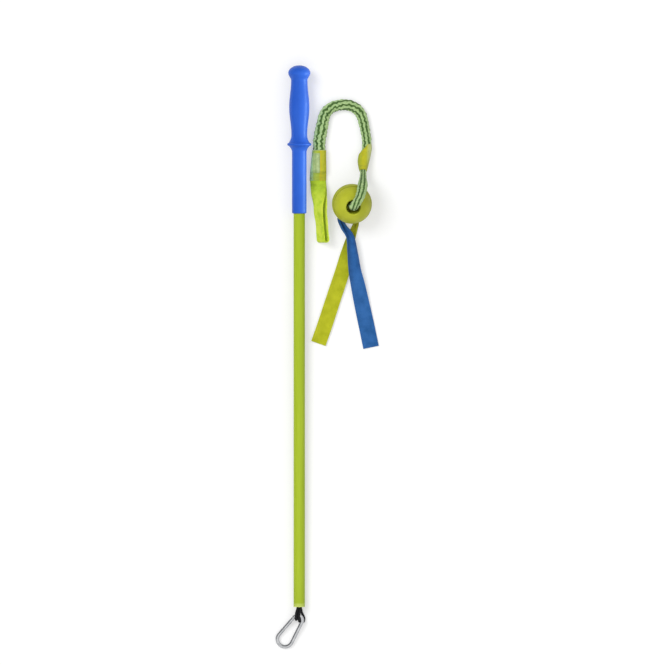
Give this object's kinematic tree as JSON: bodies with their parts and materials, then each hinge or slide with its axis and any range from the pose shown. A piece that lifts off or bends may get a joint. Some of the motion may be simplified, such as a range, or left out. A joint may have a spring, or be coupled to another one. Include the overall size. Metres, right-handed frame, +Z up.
{
  "type": "dog flirt pole",
  "caption": "Dog flirt pole laid flat: a gripped tube with a corded snap hook at its tip, and beside it the clip-on lure, a webbing loop on a bungee with a rubber ball and streamers.",
  "frame": {"origin": "middle of the layout's bounding box, on the floor", "axes": "+Y along the pole towards the grip, +X towards the lure, +Z up from the floor"},
  "size_m": [0.1634, 0.9217, 0.0824],
  "materials": {
    "grip_blue": "satin",
    "tube_lime": "gloss",
    "plug_lime": "satin",
    "cord_black": "braided",
    "hook_metal": "polished",
    "pin_steel": "satin",
    "webbing_lime": "woven",
    "cuff_olive": "matte",
    "label_pale": "matte",
    "thread_olive": "matte",
    "cover_green": "gathered",
    "core_elastic": "matte",
    "ball_olive": "satin",
    "streamer_blue": "matte",
    "streamer_lime": "matte"
  },
  "bodies": {
    "pole": {"grip": "grip_blue", "pole_tube": "tube_lime", "top_plug": "plug_lime", "tip_plug": "plug_lime", "cord_knot": "cord_black"},
    "cord": {"tip_cord": "cord_black"},
    "hook": {"hook_body": "hook_metal"},
    "gate": {"hook_gate": "hook_metal", "gate_rivet": "pin_steel", "latch_pin": "pin_steel", "gate_spring": "pin_steel"},
    "plunger": {"gate_plunger": "pin_steel"},
    "lure": {"loop_cuff": "cuff_olive", "blank_label": "label_pale", "cuff_stitches": "thread_olive", "upper_cover": "cover_green", "upper_core": "core_elastic", "leaf_sleeve": "cuff_olive", "leaf_stitches": "thread_olive"},
    "loop": {"hand_loop": "webbing_lime"},
    "tail": {"lower_cover": "cover_green", "lower_core": "core_elastic", "stop_knot": "cover_green", "streamer_tack": "thread_olive"},
    "ball": {"ball": "ball_olive"},
    "blue": {"blue_streamer": "streamer_blue"},
    "lime": {"lime_streamer": "streamer_lime"}
  },
  "joints": [
    {"name": "cord_flex", "type": "hinge", "parent": "pole", "child": "cord", "pos_m": [-0.044, -0.395, 0.009], "axis": [-1, 0, 0], "range_deg": [0, 90], "deforming": ["tip_cord"]},
    {"name": "hook_swing", "type": "hinge", "parent": "cord", "child": "hook", "pos_m": [-0.0468, -0.416, 0.00819], "axis": [-0.0597, -0.0895, 0.9942], "range_deg": [-10, 70]},
    {"name": "gate_hinge", "type": "hinge", "parent": "hook", "child": "gate", "pos_m": [-0.05534, -0.4144, 0.00782], "axis": [-0.0597, -0.0895, 0.9942], "range_deg": [0, 30], "stiffness_Nm_per_rad": 0.03, "springref_deg": -34.38},
    {"name": "plunger_slide", "type": "slide", "parent": "gate", "child": "plunger", "axis": [-0.6513, -0.7513, -0.1067], "range_m": [0, 0.0005], "deforming": ["gate_spring"]},
    {"name": "lure_lift", "type": "slide", "parent": "pole", "child": "lure", "axis": [0, 0, 1], "range_m": [0, 0.2]},
    {"name": "loop_fold", "type": "hinge", "parent": "lure", "child": "loop", "pos_m": [-0.0145, 0.279, 0.00592], "axis": [-1, 0, 0], "range_deg": [0, 90]},
    {"name": "bungee_stretch", "type": "slide", "parent": "lure", "child": "tail", "axis": [0, -1, 0], "range_m": [0, 0.05], "stiffness_N_per_m": 100, "deforming": ["lower_cover", "lower_core"]},
    {"name": "ball_spin", "type": "hinge", "parent": "tail", "child": "ball", "pos_m": [0.0392, 0.242, 0.03549], "axis": [0.0846, -0.1899, 0.9781], "continuous": true},
    {"name": "blue_swing", "type": "hinge", "parent": "tail", "child": "blue", "pos_m": [0.03613, 0.24889, 0.003], "axis": [0, 0, 1], "range_deg": [0, 25]},
    {"name": "lime_swing", "type": "hinge", "parent": "tail", "child": "lime", "pos_m": [0.03613, 0.24889, 0.001], "axis": [0, 0, 1], "range_deg": [-8, 0]}
  ],
  "couplings": [
    {"joint": "plunger_slide", "follows": "gate_hinge", "m_per_rad": 0.00085}
  ]
}
